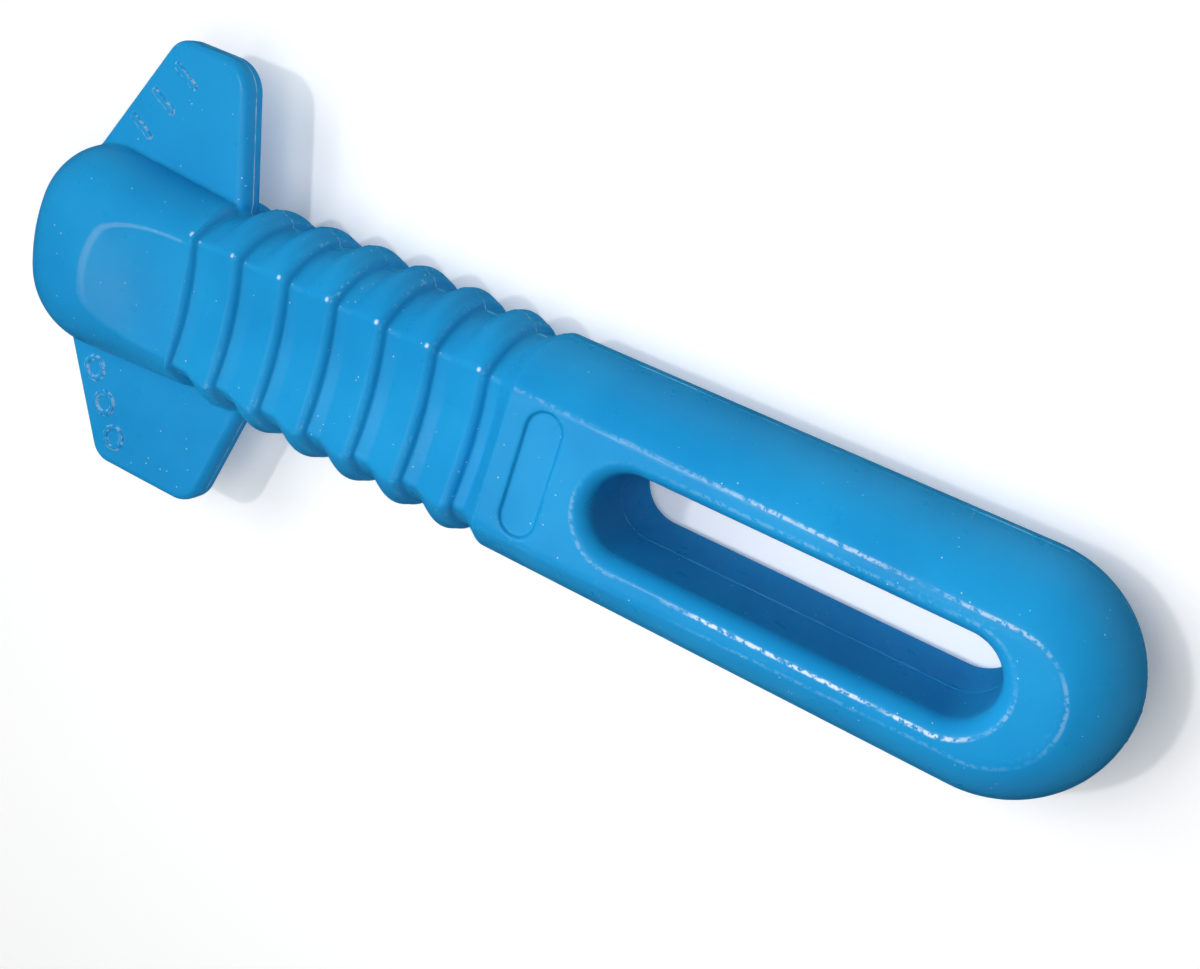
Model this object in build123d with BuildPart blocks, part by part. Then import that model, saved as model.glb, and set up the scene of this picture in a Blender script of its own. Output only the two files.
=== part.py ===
from build123d import *
from math import radians, sin
import os

# Algae scraper: a two-shell moulded body with a double-ended wing plate trapped in its head.
# X runs from the head to the hanging slot, Y across the wings, Z up from the rear flat.
# The origin is under the middle of the object, on the plane that the tool lies on.  Units: mm.

os.makedirs("parts", exist_ok=True)

# Body
overall_length = 146.4
half_thickness = 10.0
handle_half_width = 13.6
end_half_width = 14.0
head_length = 27.8

# Head
head_half_width = 13.8
head_end_radius = 24.0
head_corner_radius = 11.0
head_edge_radius = 9.0
head_step_half_width = 12.3
scoop_tip = 14.5
shoulder_flat_half = 8.7
shoulder_height = 9.4
shoulder_half_width = 12.4
shoulder_dish = 0.95

# Ribbed grip: heights are measured from the parting plane
neck_depth = 1.1
neck_reach = 28.0
rib_pitch = 7.0
rib_count = 6
rib_step = 0.9
groove_length = 2.6
last_groove_length = 2.2
handle_ramp_end = 4.3
crest_flat_half = 8.5
crest_height = 9.5
swell_half_width = 13.95
groove_flat_half = 8.0
groove_height = 8.5
groove_half_width = 12.2
dish_depth = 1.0
ramp_slices = 6
swell_turn = 138

# Handle
handle_flat_half = 8.25
end_flat_half = 7.5
slot_separation = 37.4
slot_width = 9.6
slot_middle = 82.1
slot_rim_radius = 1.5
recess_middle = 51.4
recess_length = 15.0
recess_width = 4.5
recess_depth = 0.4

# Wings
wing_thickness = 3.8
wing_reach = 28.6
wing_edge_radius = 1.1
wing_front_corner = 3.2
wing_rear_corner = 4.2
wing_root = 12.5
wing_front_root = -22.4
wing_front_tip = -13.8
wing_rear_root = {1: 1.05, -1: 7.42}
wing_rear_tip = {1: -2.7, -1: 2.9}

# Raised marks on the wings
mark_height = 0.25
mark_count = 3
mark_inset = 4.7
mark_run = 7.8
mark_start = 14.5
mark_rise = 12.0
bar_length = 4.2
bar_width = 0.8
bar_corner = 0.35
bar_turn = -28
ring_radius = 1.7
ring_hole_radius = 1.1

# Hollow inside
cavity_half_height = 5.3
cavity_edge_radius = 2.5
grip_cavity_start = -20.0
grip_cavity_half = 9.4
handle_cavity_start = 47.5
handle_cavity_half = 11.2
slot_wall = 2.0
bulkhead = 1.6
bulkhead_stations = [11.5, 25.5, 39.5]

# Lap joint and locating pegs
lip_width = 0.9
lip_height = 1.2
lap_clearance = 0.1
lap_start = 8.0
post_radius = 3.2
peg_radius = 1.5
peg_length = 4.0
peg_clearance = 0.1
socket_relief = 0.4
head_pegs = [(-9.0, 5.0), (-9.0, -5.0)]
body_pegs = [(18.5, 0.0), (32.5, 0.0), (51.5, 0.0), (111.8, 0.0)]

# Stations along X are counted from the step behind the head
step_x = head_length - overall_length / 2
tip_x = -overall_length / 2
end_x = overall_length / 2 - end_half_width
parting = Plane.XY.offset(half_thickness)


def at(station):
    """X of a point counted from the step behind the head."""
    return step_x + station


def bar_section(station, flat_half, flat_height, side_reach, dish):
    """Cross-section of the bar: two dished or plain flats joined by bulging sides."""
    plane = Plane(origin=(at(station), 0, half_thickness), x_dir=(0, 1, 0), z_dir=(1, 0, 0))
    with BuildSketch(plane) as section:
        with BuildLine():
            for side in (1, -1):
                low = (-flat_half * side, flat_height * side)
                high = (flat_half * side, flat_height * side)
                if dish:
                    ThreePointArc(low, (0, (flat_height - dish) * side), high)
                else:
                    Line(low, high)
                corner = (flat_half * side, -flat_height * side)
                ThreePointArc(high, (side_reach * side, 0), corner)
        make_face()
    return section.sketch.face()


def grip_section(station, rise):
    """Section of the ribbed grip: rise is 0 in a groove, 1 on a crest, and the sides bulge between.

    The grip gets narrower towards the head, by the neck's depth at the step.
    """
    swell = sin(radians(rise * swell_turn))
    neck = neck_depth * max(1 - station / neck_reach, 0) ** 2
    return bar_section(
        station,
        groove_flat_half + rise * (crest_flat_half - groove_flat_half),
        groove_height + rise * (crest_height - groove_height),
        groove_half_width + swell * (swell_half_width - groove_half_width) - neck,
        dish_depth,
    )


# Head: a blunt pillow with a dished flat on each face that runs out as a D
crest_floor = crest_height - dish_depth
scoop_radius = (crest_flat_half**2 + dish_depth**2) / (2 * dish_depth)
scoop_reach = (scoop_radius**2 - (scoop_radius - half_thickness + crest_floor) ** 2) ** 0.5
scoop_middle = at(scoop_reach - scoop_tip)
corner_x = tip_x + head_end_radius - (head_end_radius**2 - head_half_width**2) ** 0.5

with BuildPart() as head_form:
    with BuildSketch(parting):
        with BuildLine():
            Line((corner_x, -head_half_width), (step_x, -head_step_half_width))
            Line((step_x, -head_step_half_width), (step_x, head_step_half_width))
            Line((step_x, head_step_half_width), (corner_x, head_half_width))
            ThreePointArc((corner_x, head_half_width), (tip_x, 0), (corner_x, -head_half_width))
        outline = make_face()
        end_corners = outline.vertices().sort_by(Axis.X)[:2]
        fillet(end_corners, radius=head_corner_radius)
    extrude(amount=half_thickness, both=True)
    rims = head_form.faces().filter_by(Axis.Z).edges()
    fillet(rims.filter_by_position(Axis.X, tip_x, step_x - 0.1), radius=head_edge_radius)
    for side in (1, -1):
        scoop_height = half_thickness + side * (crest_floor + scoop_radius)
        with Locations((scoop_middle, 0, scoop_height)):
            Sphere(scoop_radius, mode=Mode.SUBTRACT)
        with Locations(((scoop_middle + step_x + 1) / 2, 0, scoop_height)):
            Cylinder(
                scoop_radius, step_x + 1 - scoop_middle, rotation=(0, 90, 0), mode=Mode.SUBTRACT
            )

# Grip and handle, and with the head the whole outer form
sections = [
    bar_section(0, shoulder_flat_half, shoulder_height, shoulder_half_width, shoulder_dish)
]
for rib in range(rib_count):
    step = rib * rib_pitch
    sections.append(grip_section(step + rib_step, 0))
    for slice_number in range(ramp_slices + 1):
        rise = slice_number / ramp_slices
        sections.append(grip_section(step + groove_length + rise * (rib_pitch - groove_length), rise))
sections.append(grip_section(rib_count * rib_pitch + rib_step, 0))
sections.append(grip_section(rib_count * rib_pitch + last_groove_length, 0))
handle_start = rib_count * rib_pitch + handle_ramp_end
sections.append(bar_section(handle_start, handle_flat_half, half_thickness, handle_half_width, 0))
sections.append(bar_section(end_x - step_x, end_flat_half, half_thickness, end_half_width, 0))

with BuildPart() as body_form:
    loft(sections=sections, ruled=True)
    with BuildSketch(Plane(origin=(end_x, 0, half_thickness), x_dir=(0, 1, 0), z_dir=(1, 0, 0))):
        with BuildLine():
            Polyline(
                (end_flat_half, half_thickness),
                (0, half_thickness),
                (0, -half_thickness),
                (end_flat_half, -half_thickness),
            )
            ThreePointArc(
                (end_flat_half, -half_thickness), (end_half_width, 0), (end_flat_half, half_thickness)
            )
        make_face()
    revolve(axis=Axis((end_x, 0, 0), (0, 0, -1)), revolution_arc=180)
    add(head_form.part)
    with BuildSketch(parting):
        with Locations((at(slot_middle), 0)):
            SlotCenterToCenter(slot_separation, slot_width)
    extrude(amount=half_thickness + 1, both=True, mode=Mode.SUBTRACT)
    slot_left = at(slot_middle - slot_separation / 2 - slot_width / 2)
    slot_right = at(slot_middle + slot_separation / 2 + slot_width / 2)
    flats = body_form.faces().filter_by(Axis.Z).edges()
    rims = flats.filter_by_position(Axis.X, slot_left - 0.1, slot_right + 0.1)
    rims = rims.filter_by_position(Axis.Y, -slot_width / 2 - 0.1, slot_width / 2 + 0.1)
    fillet(rims, radius=slot_rim_radius)
    for height in (recess_depth / 2, 2 * half_thickness - recess_depth / 2):
        with BuildSketch(Plane.XY.offset(height)):
            with Locations((at(recess_middle), 0)):
                SlotOverall(recess_length, recess_width, rotation=90)
        extrude(amount=recess_depth / 2, both=True, mode=Mode.SUBTRACT)


# Wings: one plate, with both wings and the web that joins them through the head
with BuildPart() as wing_form:
    with BuildSketch(parting):
        with BuildLine():
            Polyline(
                (at(wing_front_root), wing_root),
                (at(wing_front_tip), wing_reach),
                (at(wing_rear_tip[1]), wing_reach),
                (at(wing_rear_root[1]), wing_root),
                (at(wing_rear_root[1]), 0),
                (at(wing_rear_root[-1]), -wing_root),
                (at(wing_rear_tip[-1]), -wing_reach),
                (at(wing_front_tip), -wing_reach),
                (at(wing_front_root), -wing_root),
                close=True,
            )
        plate = make_face()
        corners = plate.vertices()
        for side in (1, -1):
            outer = corners.filter_by(lambda corner: side * corner.Y > wing_root + 1).sort_by(Axis.X)
            fillet(outer[0], radius=wing_front_corner)
            fillet(outer[1], radius=wing_rear_corner)
    extrude(amount=wing_thickness / 2, both=True)
    fillet(wing_form.faces().filter_by(Axis.Z).edges(), radius=wing_edge_radius)

# Generic raised marks along the slanted edge of each wing: bars on one, rings on the other
mark_plane = Plane.XY.offset(half_thickness + wing_thickness / 2)
with BuildPart() as wing_plate:
    add(wing_form.part)
    with Locations(*[(at(x), y, half_thickness) for x, y in head_pegs]):
        Cylinder(peg_radius + peg_clearance, wing_thickness + 1, mode=Mode.SUBTRACT)
    with BuildSketch(mark_plane):
        for row in range(mark_count):
            along = (row + 0.5) / mark_count
            x = at(wing_front_root + mark_inset + along * mark_run)
            y = mark_start + along * mark_rise
            with Locations((x, y)):
                RectangleRounded(bar_length, bar_width, bar_corner, rotation=bar_turn)
            with Locations((x, -y)):
                Circle(ring_radius)
                Circle(ring_hole_radius, mode=Mode.SUBTRACT)
    extrude(amount=mark_height)
wing_plate.part.label = "wing_plate"


grip_cavity_length = handle_cavity_start - grip_cavity_start
grip_cavity_end = Plane(
    origin=(at(grip_cavity_start), 0, half_thickness), x_dir=(0, 1, 0), z_dir=(1, 0, 0)
)


def cavity_plan(grow):
    """Plan of the hollow, grown into the walls by a margin, with the slot's wall left standing."""
    run = end_x - at(handle_cavity_start)
    wall = slot_wall - grow
    with BuildSketch(parting) as plan:
        with Locations((at(grip_cavity_start) + grip_cavity_length / 2, 0)):
            Rectangle(grip_cavity_length + 2 * grow, 2 * (grip_cavity_half + grow))
        with Locations((end_x - run / 2, 0)):
            Rectangle(run + 2 * grow, 2 * (handle_cavity_half + grow))
        with Locations((end_x, 0)):
            Circle(handle_cavity_half + grow)
        with Locations((at(slot_middle), 0)):
            SlotCenterToCenter(slot_separation, slot_width + 2 * wall, mode=Mode.SUBTRACT)
    return plan.sketch


cavity_x = at(handle_cavity_start)

# The hollow, with cross walls and round posts left standing in it
with BuildPart() as cavity_form:
    with BuildSketch(grip_cavity_end):
        RectangleRounded(2 * grip_cavity_half, 2 * cavity_half_height, cavity_edge_radius)
    extrude(amount=grip_cavity_length)
    with BuildSketch(parting):
        with BuildLine():
            Line((cavity_x, handle_cavity_half), (end_x, handle_cavity_half))
            RadiusArc((end_x, handle_cavity_half), (end_x, -handle_cavity_half), handle_cavity_half)
            Line((end_x, -handle_cavity_half), (cavity_x, -handle_cavity_half))
            Line((cavity_x, -handle_cavity_half), (cavity_x, handle_cavity_half))
        make_face()
    extrude(amount=cavity_half_height, both=True)
    rims = cavity_form.faces().filter_by(Axis.Z).edges()
    fillet(rims.filter_by_position(Axis.X, cavity_x + 1, overall_length), cavity_edge_radius)
    with BuildSketch(parting):
        with Locations((at(slot_middle), 0)):
            SlotCenterToCenter(slot_separation, slot_width + 2 * slot_wall)
    extrude(amount=half_thickness, both=True, mode=Mode.SUBTRACT)
    with Locations(*[(at(x), 0, half_thickness) for x in bulkhead_stations]):
        Box(bulkhead, 3 * end_half_width, 3 * half_thickness, mode=Mode.SUBTRACT)
    with Locations(*[(at(x), y, half_thickness) for x, y in head_pegs + body_pegs]):
        Cylinder(post_radius, 3 * half_thickness, mode=Mode.SUBTRACT)


def lap_band(grow, depth):
    """The band of wall beside the hollow where the two shells lap, behind the wing plate."""
    with BuildPart() as band:
        with BuildSketch(parting):
            add(cavity_plan(grow))
            add(cavity_plan(0), mode=Mode.SUBTRACT)
            with Locations((at(lap_start) - overall_length, 0)):
                Rectangle(2 * overall_length, 4 * end_half_width, mode=Mode.SUBTRACT)
        extrude(amount=-depth)
    return band.part


def peg_row(radius, length):
    """Round pins that go down from the parting plane at every post."""
    with BuildPart() as row:
        with BuildSketch(parting):
            with Locations(*[(at(x), y) for x, y in head_pegs + body_pegs]):
                Circle(radius)
        extrude(amount=-length)
        with BuildSketch(parting):
            with Locations(*[(at(x), y) for x, y in head_pegs]):
                Circle(radius)
        extrude(amount=wing_thickness / 2)
    return row.part


lip = lap_band(lip_width, lip_height)
rebate = lap_band(lip_width + lap_clearance, lip_height + lap_clearance)
pegs = peg_row(peg_radius, peg_length)
sockets = peg_row(peg_radius + peg_clearance, peg_length + socket_relief)

# Front shell: the half above the parting plane, with the lip and the pegs
with BuildPart() as front_shell:
    add(body_form.part)
    add(cavity_form.part, mode=Mode.SUBTRACT)
    split(bisect_by=parting, keep=Keep.TOP)
    add(lip)
    add(wing_form.part, mode=Mode.SUBTRACT)
    add(pegs)
front_shell.part.label = "front_shell"

# Rear shell: the half below, with the rebate and the sockets
with BuildPart() as rear_shell:
    add(body_form.part)
    add(cavity_form.part, mode=Mode.SUBTRACT)
    split(bisect_by=parting, keep=Keep.BOTTOM)
    add(rebate, mode=Mode.SUBTRACT)
    add(wing_form.part, mode=Mode.SUBTRACT)
    add(sockets, mode=Mode.SUBTRACT)
rear_shell.part.label = "rear_shell"

export_step(front_shell.part, "parts/front_shell.step")
export_step(rear_shell.part, "parts/rear_shell.step")
export_step(wing_plate.part, "parts/wing_plate.step")
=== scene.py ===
"""Algae scraper: the moulded body, its two shells and the wing plate, as dense smooth meshes.

Every surface is the zero level of a distance function in millimetres, meshed on a grid.  The
dimensions are those of the CAD part, in its own frame: X from head to slot, Y across the wings, Z up.
The lean of the thumb flats, the wider turn and crisp edge of the slot's rim, the fillets of the wings
and the raised parting line are small details that the CAD part doesn't have.
"""

import math

import bpy
import numpy as np
from mathutils import Matrix, Vector


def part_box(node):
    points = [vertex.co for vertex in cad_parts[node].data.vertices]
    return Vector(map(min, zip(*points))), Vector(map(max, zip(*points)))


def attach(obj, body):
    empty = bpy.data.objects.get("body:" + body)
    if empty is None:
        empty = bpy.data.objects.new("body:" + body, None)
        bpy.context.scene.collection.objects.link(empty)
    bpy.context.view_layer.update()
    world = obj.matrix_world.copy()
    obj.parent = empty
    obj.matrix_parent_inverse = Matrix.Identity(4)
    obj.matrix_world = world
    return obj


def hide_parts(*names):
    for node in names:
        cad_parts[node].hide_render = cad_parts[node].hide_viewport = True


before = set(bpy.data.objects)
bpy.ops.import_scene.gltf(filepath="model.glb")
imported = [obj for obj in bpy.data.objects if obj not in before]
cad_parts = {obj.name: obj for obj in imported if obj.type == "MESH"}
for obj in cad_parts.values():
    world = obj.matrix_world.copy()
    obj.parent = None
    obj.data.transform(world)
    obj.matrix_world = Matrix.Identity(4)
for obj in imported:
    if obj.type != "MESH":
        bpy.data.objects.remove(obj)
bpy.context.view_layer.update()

MM = 0.001
FAR = 9.0  # mm, a distance beyond every bright line

# ---------------------------------------------------------------- dimensions, in mm
front_low, front_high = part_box("front_shell")
tip_x = front_low[0] / MM
last_x = front_high[0] / MM
half_thickness = front_high[2] / MM / 2
head_length = 27.8
step_x = tip_x + head_length
end_half_width = 14.0
end_x = last_x - end_half_width

head_half_width = 13.8
head_step_half_width = 12.3
head_end_radius = 24.0
head_corner_radius = 11.0
head_edge_radius = 9.0
scoop_tip = 14.5
scoop_softness = 0.12
scoop_spread = 1.15
scoop_lean = 0.9
longest_taper = 1.1  # of the way to the step
longest_before = 2.0  # thumb flats ahead of the step
step_blend = (-0.3, 0.2)

rib_pitch = 7.0
rib_count = 6
crest_turn_start = -0.5
crest_turn_end = 0.65
turn_points = 9
ramp_points = 13
groove_length = 2.6
last_groove_length = 2.2
handle_ramp_end = 4.3
handle_settled = 8.0
crest_flat_half = 8.5
crest_height = 9.5
swell_half_width = 13.95
swell_turn = math.radians(138)
groove_flat_half = 8.0
groove_height = 8.5
groove_half_width = 12.2
dish_depth = 1.0
neck_depth = 1.1
neck_reach = 28.0
shoulder_lead = 0.6
shoulder = {"flat": 8.7, "height": 9.4, "side": 12.4, "dish": 0.95}
handle_flat_half = 8.25
handle_half_width = 13.6
end_flat_half = 7.5
grip_softness = 0.35
ramp_softness = 0.8
handle_softness = 0.35
profile_blur = 0.08

slot_half_run = 18.7
slot_half_width = 4.8
slot_middle = step_x + 82.1
slot_rim_line = 1.5
slot_rim_turn = 2.5
slot_rim_depth = 2.3
slot_rim_softness = 0.12
recess_middle = step_x + 51.4
recess_half_run = 5.25
recess_half_width = 2.25
recess_depth = 0.4
recess_floor_softness = 0.15
recess_edge_softness = 0.2

wing_half_thickness = 1.9
wing_reach = 28.6
wing_root = 12.5
wing_edge_radius = 1.1
wing_corner_radii = (3.2, 4.2)
wing_front = (-22.4, -13.8)
wing_rear = {1: (1.05, -2.7), -1: (7.42, 2.9)}
wing_fillet = 0.4
wing_collar_depth = 0.45
wing_collar_share = 0.95
mark_count = 3
mark_height = 0.25
mark_inset = 4.7
mark_run = 7.8
mark_start = 14.5
mark_rise = 12.0
mark_softness = 0.12
bar_turn = math.radians(-28)
bar_half_run = 1.7
bar_half_width = 0.4
ring_radius = 1.4
ring_half_width = 0.3

flash_height = 0.03
flash_width = 0.14
shell_flash = {1: 0.13, -1: 0.03}
shell_rim_softness = 0.03


# ---------------------------------------------------------------- distance functions
def round_max(a, b, radius):
    """Intersection of two solids, with the edge between them rounded."""
    ua = np.maximum(a + radius, 0)
    ub = np.maximum(b + radius, 0)
    return np.minimum(np.maximum(a, b), -radius) + np.hypot(ua, ub)


def round_min(a, b, radius):
    """Union of two solids, with the corner between them filled."""
    return -round_max(-a, -b, radius)


def slab(plan, height, half_height, radius):
    """A plan outline made a plate with rounded rims."""
    return round_max(plan, np.abs(height) - half_height, radius)


def stadium(along, across, half_run, half_width):
    """A straight slot with round ends, from its middle."""
    return np.hypot(np.maximum(np.abs(along) - half_run, 0), across) - half_width


def ease(value, low, high):
    """A smooth step from 0 at low to 1 at high."""
    t = np.clip((value - low) / (high - low), 0, 1)
    return t * t * (3 - 2 * t)


def grip_profile():
    """Section sizes along the bar: station, flat half-width, height, side reach, dish, softness."""
    rows = [(crest_turn_start - shoulder_lead, *shoulder.values(), grip_softness)]

    def grip_row(station, rise, swell):
        flat = groove_flat_half + rise * (crest_flat_half - groove_flat_half)
        height = groove_height + rise * (crest_height - groove_height)
        neck = neck_depth * max(1 - station / neck_reach, 0) ** 2
        side = groove_half_width + swell * (swell_half_width - groove_half_width) - neck
        rows.append((station, flat, height, side, dish_depth, grip_softness))

    def crest_turn(step):
        """The crest rounds over and drops to the next groove's floor."""
        for turn in np.linspace(0, math.pi / 2, turn_points):
            station = crest_turn_start + (crest_turn_end - crest_turn_start) * math.sin(turn)
            fall = math.cos(turn)
            grip_row(step + station, fall, fall * math.sin(swell_turn))

    for rib in range(rib_count):
        step = rib * rib_pitch
        crest_turn(step)
        ramp_length = rib_pitch + crest_turn_start - groove_length
        for rise in np.linspace(0, 1, ramp_points):
            grip_row(step + groove_length + rise * ramp_length, rise, math.sin(rise * swell_turn))
    last = rib_count * rib_pitch
    crest_turn(last)
    grip_row(last + last_groove_length, 0, 0)
    full = half_thickness
    rows.append((last + handle_ramp_end, handle_flat_half, full, handle_half_width, 0, ramp_softness))
    rows.append((last + handle_settled, handle_flat_half, full, handle_half_width, 0, handle_softness))
    rows.append((end_x - step_x, end_flat_half, full, end_half_width, 0, handle_softness))
    table = np.array(rows).T
    spacing = 0.03
    margin_before = 3
    blur_steps = 20
    stations = np.arange(-margin_before, end_x - step_x + margin_before, spacing)
    reach = np.arange(-blur_steps, blur_steps + 1)
    kernel = np.exp(-0.5 * (reach * spacing / profile_blur) ** 2)
    kernel /= kernel.sum()
    sizes = []
    for row in table[1:]:
        sampled = np.interp(stations, table[0], row)
        padded = np.pad(sampled, blur_steps, mode="edge")
        sizes.append(np.convolve(padded, kernel, mode="valid"))
    return stations, sizes


profile_stations, profile_sizes = grip_profile()
handle_start = step_x + rib_count * rib_pitch + handle_ramp_end


def bar(x, y, z):
    """The grip and the handle with its round end."""
    sizes = [np.interp(x - step_x, profile_stations, size) for size in profile_sizes]
    flat, height, side, dish, softness = sizes
    across = np.hypot(np.maximum(x - end_x, 0), y)
    bulge = side - flat
    radius = (bulge**2 + height**2) / (2 * bulge)
    flank = np.hypot(across - side + radius, z) - radius
    face = np.abs(z) - height + dish * (1 - (across / flat) ** 2)
    return round_max(flank, face, softness)


crest_floor = crest_height - dish_depth
scoop_radius = (crest_flat_half**2 + dish_depth**2) / (2 * dish_depth)
scoop_reach = math.sqrt(scoop_radius**2 - (scoop_radius - half_thickness + crest_floor) ** 2)


def head_forms(x, y, z):
    """The pillow shape of the head, and the ball that each thumb flat is dished by."""
    centre_y = head_half_width - head_corner_radius
    turn = head_end_radius - head_corner_radius
    arc_x = tip_x + head_end_radius
    centre_x = arc_x - math.sqrt(turn**2 - centre_y**2)
    corner_x = arc_x - math.sqrt(head_end_radius**2 - head_half_width**2)
    taper = np.clip((x - corner_x) / (step_x - corner_x), 0, longest_taper)
    side_y = np.abs(y) + taper * (head_half_width - head_step_half_width)
    end = np.hypot(x - arc_x, y) - head_end_radius
    corner = np.hypot(x - centre_x, side_y - centre_y) - head_corner_radius
    on_end = side_y * (arc_x - centre_x) < centre_y * (arc_x - x)
    plan = np.where(x > centre_x, side_y - head_half_width, np.where(on_end, end, corner))
    pillow = slab(plan, z, half_thickness, head_edge_radius)
    before = np.clip((step_x - x) / scoop_tip, 0, longest_before)
    aside = (y + scoop_lean * before) / scoop_spread
    above = np.abs(z) - crest_floor - scoop_radius
    scoop = np.sqrt((scoop_reach * before) ** 2 + aside**2 + above**2) - scoop_radius
    return pillow, scoop


def head(x, y, z):
    """The blunt head with a dished thumb flat on each face."""
    pillow, scoop = head_forms(x, y, z)
    return round_max(pillow, -scoop, scoop_softness)


def outer_form(x, y, z):
    """The whole body from outside, without the wings.  Z is measured from the parting plane."""
    blend = ease(x, step_x + step_blend[0], step_x + step_blend[1])
    form = head(x, y, z) * (1 - blend) + bar(x, y, z) * blend
    slot = stadium(x - slot_middle, y, slot_half_run, slot_half_width)
    depth = half_thickness - np.abs(z)
    inward = np.maximum(slot_rim_turn - slot, 0)
    rim = np.hypot(inward, np.maximum(slot_rim_depth - depth, 0)) - slot_rim_turn
    form = round_max(form, rim, slot_rim_softness)
    recess_plan = stadium(y, x - recess_middle, recess_half_run, recess_half_width)
    recess = round_max(recess_plan, half_thickness - recess_depth - np.abs(z), recess_floor_softness)
    return round_max(form, -recess, recess_edge_softness)


def wing_plan(x, y):
    """The plate in plan: two hexagon-like wings and the web between them."""
    station = x - step_x
    plan = np.full(np.broadcast(x, y).shape, -1e3)
    for side, (rear_root, rear_tip) in wing_rear.items():
        height = wing_reach - wing_root
        lines = []
        for root, tip, outward in ((wing_front[0], wing_front[1], -1), (rear_root, rear_tip, 1)):
            length = math.hypot(height, tip - root)
            normal = (outward * height / length, -outward * (tip - root) / length)
            distance = (station - root) * normal[0] + (side * y - wing_root) * normal[1]
            base = (station - root) * outward
            lines.append((distance, normal, root, base))
        top = side * y - wing_reach
        wing = np.maximum(np.maximum(lines[0][0], lines[1][0]), top)
        for (distance, normal, root, _), radius in zip(lines, wing_corner_radii):
            centre_y = wing_reach - radius
            along = (centre_y - wing_root) * normal[1] + radius
            centre_x = root - along / normal[0]
            dx = station - centre_x
            dy = side * y - centre_y
            outward = math.copysign(1, normal[0])
            past_side = (dy * normal[0] - dx * normal[1]) * outward > 0
            inside_turn = (dx * outward > 0) & past_side
            wing = np.where(inside_turn, np.hypot(dx, dy) - radius, wing)
        web = np.maximum(lines[0][3], lines[1][3])
        half = np.where(side * y > wing_root, wing, web)
        plan = np.where(side * y >= 0, half, plan)
    return plan


def marks(x, y):
    """Generic raised marks beside the slanted edge: bars on one wing, rings on the other."""
    station = x - step_x
    nearest = np.full(np.broadcast(x, y).shape, FAR)
    for row in range(mark_count):
        along = (row + 0.5) / mark_count
        mark_x = wing_front[0] + mark_inset + along * mark_run
        mark_y = mark_start + along * mark_rise
        dx = station - mark_x
        dy = y - mark_y
        run = dx * math.cos(bar_turn) + dy * math.sin(bar_turn)
        off = dy * math.cos(bar_turn) - dx * math.sin(bar_turn)
        nearest = np.minimum(nearest, stadium(run, off, bar_half_run, bar_half_width))
        ring = np.abs(np.hypot(dx, y + mark_y) - ring_radius) - ring_half_width
        nearest = np.minimum(nearest, ring)
    return nearest


def wing_plate(x, y, z):
    """The plate itself, as the shells are cut for it."""
    return slab(wing_plan(x, y), z, wing_half_thickness, wing_edge_radius)


def wing_piece(x, y, z):
    """The plate with its marks, its flash line and the fillets where it leaves the body."""
    plate = wing_plate(x, y, z) - flash_height * np.exp(-((z / flash_width) ** 2))
    body = outer_form(x, y, z)
    near = np.maximum(-body - wing_collar_depth, plate - wing_collar_share * wing_fillet)
    flared = np.maximum(round_min(plate, body, wing_fillet), near)
    plate = np.minimum(plate, flared)
    raised = round_max(marks(x, y), z - wing_half_thickness - mark_height, mark_softness)
    raised = np.maximum(raised, -z)
    return round_min(plate, raised, mark_softness)


grip_cavity = (step_x - 20.0, step_x + 47.5)
cavity_half_height = 5.3
cavity_half_width = 9.4
handle_cavity_half = 11.2
cavity_edge_radius = 2.5
slot_wall = 2.0
bulkhead_stations = (11.5, 25.5, 39.5)
bulkhead_half = 0.8
post_radius = 3.2
posts = [(-9.0, 5.0), (-9.0, -5.0), (18.5, 0.0), (32.5, 0.0), (51.5, 0.0), (111.8, 0.0)]


def cavity(x, y, z):
    """The hollow between the shells, with its cross walls, posts and slot wall left standing."""
    ends = np.maximum(grip_cavity[0] - x, x - grip_cavity[1])
    side = round_max(np.abs(y) - cavity_half_width, np.abs(z) - cavity_half_height, cavity_edge_radius)
    grip = np.maximum(ends, side)
    across = np.hypot(np.maximum(x - end_x, 0), y)
    rim = round_max(across - handle_cavity_half, np.abs(z) - cavity_half_height, cavity_edge_radius)
    handle = np.maximum(rim, grip_cavity[1] - x)
    wall = stadium(x - slot_middle, y, slot_half_run, slot_half_width + slot_wall)
    hollow = np.maximum(np.minimum(grip, handle), -wall)
    for station in bulkhead_stations:
        hollow = np.maximum(hollow, bulkhead_half - np.abs(x - step_x - station))
    for station, post_y in posts:
        post = np.hypot(x - step_x - station, y - post_y) - post_radius
        hollow = np.maximum(hollow, -post)
    return hollow


def shell(side):
    """The distance function of one shell: side is 1 for the front and -1 for the rear."""

    def form(x, y, z):
        flash = shell_flash[side] * np.exp(-((z / flash_width) ** 2))
        solid = round_max(outer_form(x, y, z) - flash, -side * z, shell_rim_softness)
        solid = np.maximum(solid, -wing_plate(x, y, z))
        return np.maximum(solid, -cavity(x, y, z))

    return form


# ---------------------------------------------------------------- meshing
def spaced(stretches):
    """Grid lines through stretches of (start, end, spacing)."""
    lines = []
    for start, end, spacing in stretches:
        count = max(int(round((end - start) / spacing)), 1)
        lines.extend(np.linspace(start, end, count, endpoint=False))
    lines.append(stretches[-1][1])
    return np.array(lines)


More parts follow.
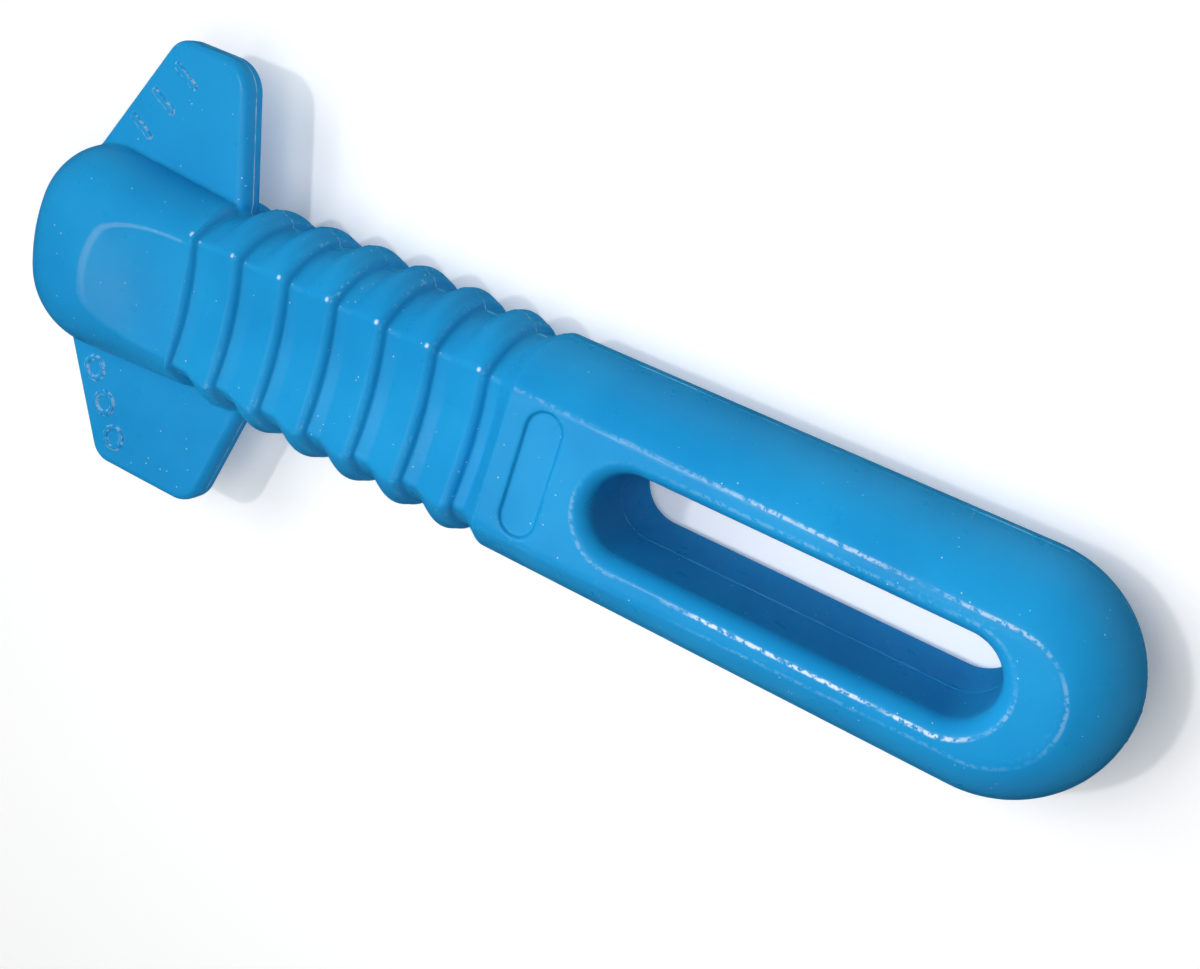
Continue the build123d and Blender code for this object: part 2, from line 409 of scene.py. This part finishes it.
def surface_net(form, xs, ys, zs, rows_at_once=32):
    """Vertices and quads of the zero level of a distance function on a rectilinear grid."""
    values = np.empty((len(xs), len(ys), len(zs)), np.float32)
    grid_y, grid_z = np.meshgrid(ys, zs, indexing="ij")
    for start in range(0, len(xs), rows_at_once):
        block = xs[start : start + rows_at_once, None, None]
        values[start : start + rows_at_once] = form(block, grid_y[None], grid_z[None])
    inside = values < 0
    axes = (xs, ys, zs)
    cells = tuple(n - 1 for n in values.shape)
    total = np.zeros(cells + (3,), np.float32)
    count = np.zeros(cells, np.int32)
    crossings = []
    for axis in range(3):
        low = [slice(None)] * 3
        high = [slice(None)] * 3
        low[axis] = slice(None, -1)
        high[axis] = slice(1, None)
        low, high = tuple(low), tuple(high)
        index = np.argwhere(inside[low] != inside[high])
        i, j, k = index.T
        a = values[low][i, j, k]
        b = values[high][i, j, k]
        share = a / (a - b)
        point = np.stack([line[index[:, n]] for n, line in enumerate(axes)], 1)
        line = axes[axis]
        point[:, axis] += share * (line[index[:, axis] + 1] - line[index[:, axis]])
        crossings.append((axis, index, inside[low][i, j, k]))
        others = [n for n in range(3) if n != axis]
        for da in (0, 1):
            for db in (0, 1):
                cell = index.copy()
                cell[:, others[0]] -= da
                cell[:, others[1]] -= db
                fits = np.all((cell >= 0) & (cell < cells), axis=1)
                where = tuple(cell[fits].T)
                np.add.at(total, where, point[fits])
                np.add.at(count, where, 1)
    used = count > 0
    number = np.full(cells, -1, np.int64)
    number[used] = np.arange(used.sum())
    vertices = total[used] / count[used][:, None]
    quads = []
    for axis, index, starts_inside in crossings:
        others = [(axis + 1) % 3, (axis + 2) % 3]
        corners = []
        for da, db in ((0, 0), (1, 0), (1, 1), (0, 1)):
            cell = index.copy()
            cell[:, others[0]] -= da
            cell[:, others[1]] -= db
            corners.append(number[tuple(cell.T)])
        quad = np.stack(corners, 1)
        quad[~starts_inside] = quad[~starts_inside][:, ::-1]
        quads.append(quad)
    return vertices.astype(np.float64), np.concatenate(quads)


def settle(form, vertices, rounds=3):
    """Moves vertices onto the surface along the slope of its distance function."""
    nudge = 0.02
    least_slope = 0.3
    longest_move = 0.15
    points = vertices.copy()
    for _ in range(rounds):
        value = form(*points.T)
        slope = np.empty_like(points)
        for axis in range(3):
            offset = np.zeros(3)
            offset[axis] = nudge
            ahead = form(*(points + offset).T)
            behind = form(*(points - offset).T)
            slope[:, axis] = (ahead - behind) / (2 * nudge)
        steep = np.maximum((slope**2).sum(1), least_slope)
        move = -value[:, None] * slope / steep[:, None]
        points += np.clip(move, -longest_move, longest_move)
    return points


def whole_form(x, y, z):
    """The outside of the assembled tool."""
    return np.minimum(outer_form(x, y, z), wing_plate(x, y, z))


def bend_of(form, points, reach=0.45, full_bend=0.22):
    """How sharply the surface bends at each point: 1 on a crisp edge, -1 in a crisp corner."""
    around = sum(
        form(*(points + sign * reach * np.eye(3)[axis]).T) for axis in range(3) for sign in (-1, 1)
    )
    return (around / 6 - form(*points.T)) / (reach * full_bend)


scoop_depth = 3.0
scoop_stop = 1.0
face_depth = 1.0
crease_depth = 0.8
mark_depth = 0.2


def rim_distance(x, y, z):
    """How far a point is, in plan, outside the line where the slot's rim starts to turn down."""
    return stadium(x - slot_middle, y, slot_half_run, slot_half_width) - slot_rim_line + 0 * z


def scoop_distance(x, y, z):
    """How far a point on the head's face is outside the edge of the thumb flat."""
    pillow, scoop = head_forms(x, y, z)
    on_head = (x < step_x - scoop_stop) & (np.abs(z) > half_thickness - scoop_depth)
    return np.where(on_head, scoop + pillow, FAR)


crest_corner_back = 0.45
crest_dot_radius = 0.3
foot_corner_ahead = 0.95
foot_dot_radius = 0.15


def corner_distance(x, y, z):
    """How far a point is from the step corners where glints are painted, which are on the +Y side only.
    """
    station = x - step_x
    step = np.clip(np.round(station / rib_pitch), 0, rib_count) * rib_pitch
    crest = np.hypot(station - step + crest_corner_back, y - crest_flat_half) - crest_dot_radius
    foot = np.hypot(station - step - foot_corner_ahead, y - groove_flat_half) - foot_dot_radius
    return np.where(np.abs(z) > crest_floor - face_depth, np.minimum(crest, foot), FAR)


def recess_distance(x, y, z):
    """How far a point on the handle's face is outside the wall of the recess."""
    plan = stadium(y, x - recess_middle, recess_half_run, recess_half_width)
    return np.where(np.abs(z) > half_thickness - face_depth, plan, FAR)


def mark_distance(x, y, z):
    """How far a point on top of the wings is outside a raised mark."""
    on_top = (z > wing_half_thickness - mark_depth) & (np.abs(y) > wing_root)
    return np.where(on_top, marks(x, y), FAR)


def crease_distance(x, y, z):
    """How far a point is, in plan, outside the edge of the handle's flat."""
    flat = np.interp(x - step_x, profile_stations, profile_sizes[0])
    across = np.hypot(np.maximum(x - end_x, 0), y)
    on_face = np.abs(z) > half_thickness - crease_depth
    return np.where((x > handle_start) & on_face, across - flat, FAR)


def mesh_piece(name, form, xs, ys, zs):
    """Meshes a distance function as a Blender object in metres, in the frame of the part."""
    vertices, quads = surface_net(form, xs, ys, zs)
    vertices = settle(form, vertices)
    mesh = bpy.data.meshes.new(name)
    mesh.vertices.add(len(vertices))
    placed = (vertices + (0, 0, half_thickness)) * MM
    mesh.vertices.foreach_set("co", placed.astype(np.float32).ravel())
    mesh.loops.add(4 * len(quads))
    mesh.loops.foreach_set("vertex_index", quads.astype(np.int32).ravel())
    mesh.polygons.add(len(quads))
    mesh.polygons.foreach_set("loop_start", np.arange(0, 4 * len(quads), 4, dtype=np.int32))
    mesh.update(calc_edges=True)
    mesh.polygons.foreach_set("use_smooth", np.ones(len(quads), bool))
    mesh.validate()
    bend = bend_of(whole_form, vertices)
    layers = {
        "edge": np.clip(bend, 0, 1),
        "hollow": np.clip(-bend, 0, 1),
        "rim": rim_distance(*vertices.T),
        "crease": crease_distance(*vertices.T),
        "scoop": scoop_distance(*vertices.T),
        "corner": corner_distance(*vertices.T),
        "mark": mark_distance(*vertices.T),
        "recess": recess_distance(*vertices.T),
    }
    for label, values in layers.items():
        layer = mesh.attributes.new(label, "FLOAT", "POINT")
        layer.data.foreach_set("value", values.astype(np.float32))
    piece = bpy.data.objects.new(name, mesh)
    bpy.context.scene.collection.objects.link(piece)
    return piece


body_step = 0.29
rib_spacing = 0.18
parting_spacing = 0.08
margin = 0.6
past_ribs = 5.0
before_ribs = 1.0
round_length = 12.0
ribs_start = step_x - before_ribs
ribs_end = step_x + rib_count * rib_pitch + past_ribs
slot_start = slot_middle - slot_half_run
round_start = last_x - round_length
body_x = spaced(
    [
        (tip_x - margin, ribs_start, body_step * 1.2),
        (ribs_start, ribs_end, rib_spacing),
        (ribs_end, slot_start, body_step * 1.1),
        (slot_start, round_start, body_step * 1.5),
        (round_start, last_x + margin, body_step * 1.1),
    ]
)
body_y = spaced([(-end_half_width - margin, end_half_width + margin, body_step)])
outer_z = half_thickness + margin
past_parting = 0.25
fine_height = 0.5


def shell_levels(side):
    """Grid heights of a shell, close together at the parting line."""
    heights = spaced([(-past_parting, fine_height, parting_spacing), (fine_height, outer_z, body_step)])
    return np.sort(side * heights)


shells = {
    1: mesh_piece("front_shell_skin", shell(1), body_x, body_y, shell_levels(1)),
    -1: mesh_piece("rear_shell_skin", shell(-1), body_x, body_y, shell_levels(-1)),
}
wing_step = 0.2
wing_outer_z = 3.6
wing_margin = 2.0
near_parting = 0.4
wing_start = step_x + wing_front[0] - wing_margin
wing_end = step_x + wing_rear[-1][0] + wing_margin
wing_x = spaced([(wing_start, wing_end, wing_step)])
wing_y = spaced([(-wing_reach - margin, wing_reach + margin, wing_step)])
wing_z = spaced(
    [
        (-wing_outer_z, -near_parting, wing_step),
        (-near_parting, near_parting, parting_spacing),
        (near_parting, wing_outer_z, wing_step),
    ]
)
wings = mesh_piece("wing_plate_skin", wing_piece, wing_x, wing_y, wing_z)

for piece, node, slot in (
    (shells[1], "front_shell", "body"),
    (shells[-1], "rear_shell", "body"),
    (wings, "wing_plate", "wings"),
):
    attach(piece, "root")
    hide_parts(node)
    print(piece.name, len(piece.data.vertices), len(piece.data.polygons))


# ---------------------------------------------------------------- material
def moulded_plastic(name):
    """Satin blue moulded plastic: fine grain, rubbed edges, white specks that are partly dust and partly
    painted glints, painted highlights on the rims, creases, step corners, marks and parting line, and
    dark specks in the hollows beside the wings.
    """
    material = bpy.data.materials.new(name)
    material.use_nodes = True
    tree = material.node_tree
    shader = tree.nodes["Principled BSDF"]

    def node(kind, inputs=None, **settings):
        """Adds a node; an input is a value, or an output to link to it."""
        made = tree.nodes.new(kind)
        for key, value in settings.items():
            setattr(made, key, value)
        for key, value in (inputs or {}).items():
            if isinstance(value, bpy.types.NodeSocket):
                tree.links.new(value, made.inputs[key])
            else:
                made.inputs[key].default_value = value
        return made

    def noise(scale, detail=2.0, roughness=0.5):
        """Noise with about `scale` blobs to the millimetre."""
        place = node("ShaderNodeMapping", {"Vector": position, "Scale": [1 / MM] * 3})
        inputs = {"Vector": place.outputs[0], "Scale": scale, "Detail": detail, "Roughness": roughness}
        return node("ShaderNodeTexNoise", inputs).outputs["Fac"]

    def ramp(value, low, high, start=0.0, end=1.0):
        """Maps low..high to start..end, smoothly and clamped."""
        inputs = {"Value": value, "From Min": low, "From Max": high, "To Min": start, "To Max": end}
        return node("ShaderNodeMapRange", inputs, interpolation_type="SMOOTHSTEP").outputs[0]

    def multiply(a, b):
        return node("ShaderNodeMath", {0: a, 1: b}, operation="MULTIPLY").outputs[0]

    def add(a, b):
        return node("ShaderNodeMath", {0: a, 1: b}, operation="ADD").outputs[0]

    def mix(share, low, high):
        made = node("ShaderNodeMix", data_type="RGBA")
        tree.links.new(share, made.inputs["Factor"])
        for socket, colour in ((made.inputs["A"], low), (made.inputs["B"], high)):
            if isinstance(colour, bpy.types.NodeSocket):
                tree.links.new(colour, socket)
            else:
                socket.default_value = (*colour, 1)
        return made.outputs["Result"]

    def measured(label):
        """A value that was measured at each vertex when the piece was meshed."""
        return node("ShaderNodeAttribute", attribute_name=label).outputs["Fac"]

    def band(distance, middle, half_width):
        """1 on a thin line at a given distance, falling to 0 beside it."""
        off = node("ShaderNodeMath", {0: distance, 1: middle}, operation="SUBTRACT").outputs[0]
        away = node("ShaderNodeMath", {0: off}, operation="ABSOLUTE").outputs[0]
        return ramp(away, 0.3 * half_width, half_width, 1.0, 0.0)

    position = node("ShaderNodeTexCoord").outputs["Object"]
    parts = node("ShaderNodeSeparateXYZ", {0: position})
    along, across, height = (multiply(parts.outputs[axis], 1 / MM) for axis in "XYZ")

    # The blue, with lighter rubbed patches on the crisp edges
    cloud = ramp(noise(0.06, 3.0), 0.35, 0.65)
    blue = mix(cloud, plastic_low, plastic_high)
    rub_pattern = ramp(noise(1.6, 4.0, 0.7), 0.52, 0.66)
    rub_patch = ramp(noise(0.09, 2.0), 0.42, 0.6)
    rubbed = multiply(multiply(ramp(measured("edge"), 0.35, 0.8), rub_pattern), rub_patch)
    blue = mix(multiply(rubbed, 0.35), blue, rubbed_blue)

    # Painted highlights: bright broken lines, placed where the tool shows them on the slot's rim and the
    # handle's crease.
    # Whether they are wear or gloss isn't known, and they are painted as wear, so they stay on the
    # surface when the light or the camera moves.
    # The painted highlight on the slot's rim is strongest at -Y, and the one on the handle's crease at
    # +Y.
    wobble = multiply(noise(0.8, 1.0), 0.2)
    breaks = ramp(noise(1.5, 4.0, 0.6), 0.42, 0.56)
    patches = ramp(noise(0.11, 2.0), 0.34, 0.48)
    rim_band = band(add(measured("rim"), wobble), 0.2, 0.32)
    rim_run = multiply(ramp(along, 19.0, 27.0, 0.2, 1.0), ramp(along, 56.0, 61.0, 1.0, 0.3))
    rim_line = multiply(multiply(rim_band, ramp(across, -1.0, 2.5, 0.85, 0.12)), rim_run)
    crease_band = band(add(measured("crease"), wobble), 0.22, 0.3)
    crease_run = multiply(ramp(along, 20.0, 36.0, 0.25, 1.0), ramp(along, 60.0, 65.0, 1.0, 0.4))
    crease_line = multiply(multiply(crease_band, ramp(across, -5.0, 2.0, 0.1, 0.5)), crease_run)
    lines = multiply(add(rim_line, crease_line), multiply(breaks, patches))
    # Painted highlight: a faint pale line along the edge of each thumb flat, stronger towards +Y.
    scoop_line = multiply(band(measured("scoop"), 0.0, 0.16), ramp(across, -8.0, 2.0, 0.0, 0.09))
    # Painted glints: broken pale lines along the edges of the raised marks on the wings.
    mark_breaks = ramp(noise(1.4, 3.0, 0.6), 0.48, 0.56)
    mark_line = multiply(multiply(band(measured("mark"), 0.0, 0.2), mark_breaks), 0.3)
    # Painted highlight: a broken pale line along the parting line's flash, all round.
    parting = multiply(band(height, half_thickness, 0.11), ramp(noise(0.5, 3.0), 0.35, 0.6))
    lines = add(add(multiply(lines, 0.9), scoop_line), add(multiply(parting, 0.55), mark_line))
    # Painted glints: pale dots on the corners of the rib steps, on the +Y side only.
    corner_dots = ramp(add(measured("corner"), wobble), -0.05, 0.15, 1.0, 0.0)
    lines = add(lines, multiply(corner_dots, 0.6))
    # The painted highlights and glints above are mixed into the blue here, as near white.
    blue = mix(lines, blue, highlight_and_dust_white)

    # White specks all over, partly dust and partly painted glints of tiny pimples, and dark specks in
    # the hollows beside the wings
    speck_place = node("ShaderNodeMapping", {"Vector": position, "Scale": [1.0 / MM] * 3})
    speck_cells = node("ShaderNodeTexVoronoi", {"Vector": speck_place.outputs[0], "Scale": 1.0})
    speck_chosen = ramp(noise(0.7, 1.0), 0.56, 0.6)
    specks = multiply(ramp(speck_cells.outputs["Distance"], 0.04, 0.1, 1.0, 0.0), speck_chosen)
    blue = mix(multiply(specks, 0.8), blue, highlight_and_dust_white)
    hollow_speck_pattern = ramp(noise(0.9, 4.0, 0.65), 0.58, 0.66)
    off_middle = node("ShaderNodeMath", {0: across}, operation="ABSOLUTE").outputs[0]
    beside_wing = ramp(off_middle, 12.8, 13.4)
    # Dark patchy specks where the surface turns into a corner beside the wings.
    hollow_specks = multiply(multiply(ramp(measured("hollow"), 0.2, 0.6), beside_wing), hollow_speck_pattern)
    colour = mix(multiply(hollow_specks, 0.7), blue, hollow_speck_blue)
    tree.links.new(colour, shader.inputs["Base Color"])

    # Satin gloss over a fine grain and a slight sag; the recess's wall is made crisper
    gloss = ramp(noise(0.25, 4.0, 0.6), 0.3, 0.7, 0.27, 0.38)
    tree.links.new(add(gloss, multiply(rubbed, 0.12)), shader.inputs["Roughness"])

    grain = multiply(noise(3.2, 3.0, 0.6), 0.022)
    sag = multiply(noise(0.22, 1.0), 0.04)
    sunk = ramp(measured("recess"), -0.14, 0.14, 0.0, 0.08)
    relief = add(add(grain, sag), sunk)
    bump = node("ShaderNodeBump", {"Height": relief, "Strength": 1.0, "Distance": MM})
    tree.links.new(bump.outputs[0], shader.inputs["Normal"])
    tree.links.new(bump.outputs[0], shader.inputs["Coat Normal"])
    shader.inputs["Coat Weight"].default_value = 0.08
    shader.inputs["Coat Roughness"].default_value = 0.12
    shader.inputs["Specular IOR Level"].default_value = 0.14
    shader.inputs["Subsurface Weight"].default_value = 0.15
    shader.inputs["Subsurface Radius"].default_value = (0.3, 1.2, 2.4)
    shader.inputs["Subsurface Scale"].default_value = MM
    return material


plastic_low = (0.010, 0.268, 0.585)
plastic_high = (0.013, 0.304, 0.635)
rubbed_blue = (0.36, 0.62, 0.82)
highlight_and_dust_white = (0.8, 0.9, 0.95)
hollow_speck_blue = (0.004, 0.02, 0.06)
plastic = moulded_plastic("blue_plastic")
for piece in (*shells.values(), wings):
    piece.data.materials.append(plastic)


# ---------------------------------------------------------------- camera, floor and lights
def aim(thing, place, target, roll):
    """Puts a camera or light at a place, in mm, looking at a target, turned about its own axis."""
    thing.location = Vector(place) * MM
    look = (Vector(target) - Vector(place)).to_track_quat("-Z", "Y")
    thing.rotation_euler = (look.to_matrix() @ Matrix.Rotation(math.radians(roll), 3, "Z")).to_euler()


camera = bpy.data.objects.new("camera", bpy.data.cameras.new("camera"))
bpy.context.scene.collection.objects.link(camera)
bpy.context.scene.camera = camera
bpy.context.scene.view_settings.view_transform = "Standard"
camera.data.lens = 43.96
camera.data.clip_start = 0.01
aim(camera, (64.05, 56.87, 158.66), (10.5, -1.26, 10.0), -115.39)

pale_sky = (0.95, 0.97, 1, 1)


def glowing(name, colour, roughness, glow, strength):
    """A plain material for the stage that also glows a little."""
    material = bpy.data.materials.new(name)
    material.use_nodes = True
    sockets = material.node_tree.nodes["Principled BSDF"].inputs
    sockets["Base Color"].default_value = colour
    sockets["Roughness"].default_value = roughness
    sockets["Emission Color"].default_value = glow
    sockets["Emission Strength"].default_value = strength
    return material


bpy.ops.mesh.primitive_plane_add(size=12, location=(0, 0, 0))
floor = bpy.context.object
floor.name = "floor"
floor.data.materials.append(glowing("paper", (0.9, 0.9, 0.9, 1), 0.8, (1, 1, 1, 1), 0.2))
floor.visible_glossy = False

bpy.ops.mesh.primitive_uv_sphere_add(radius=5, location=(0, 0, 0))
backdrop = bpy.context.object
backdrop.name = "backdrop"
backdrop.data.materials.append(glowing("pale", (0, 0, 0, 1), 0.5, pale_sky, 0.75))
backdrop.visible_diffuse = False
backdrop.visible_glossy = False
backdrop.visible_shadow = False


def soft_light(name, place, size, power, glossy=True):
    """A rectangular soft box, facing straight down, which may be left out of reflections."""
    lamp = bpy.data.lights.new(name, "AREA")
    lamp.shape = "RECTANGLE"
    lamp.size = size[0] * MM
    lamp.size_y = size[1] * MM
    lamp.energy = power
    light = bpy.data.objects.new(name, lamp)
    bpy.context.scene.collection.objects.link(light)
    light.visible_camera = False
    light.visible_glossy = glossy
    light.location = Vector(place) * MM


sun_lamp = bpy.data.lights.new("sky_box", "SUN")
sun_lamp.energy = 1.2
sun_lamp.angle = math.radians(44)
sun = bpy.data.objects.new("sky_box", sun_lamp)
bpy.context.scene.collection.objects.link(sun)
sun.visible_glossy = False
aim(sun, (-700, 300, 840), (0, 0, 10), 0)
soft_light("near_box", (28, 20, 150), (100, 100), 0.11, glossy=False)
soft_light("key", (-125, 75, 500), (25, 25), 0.55)
soft_light("strip", (-236, -115, 450), (14, 160), 0.17)
soft_light("sheen", (-80, -170, 300), (160, 160), 0.08)
world = bpy.data.worlds.new("world")
bpy.context.scene.world = world
world.use_nodes = True
world.node_tree.nodes["Background"].inputs["Color"].default_value = pale_sky
world.node_tree.nodes["Background"].inputs["Strength"].default_value = 0.15
world.cycles_visibility.glossy = False
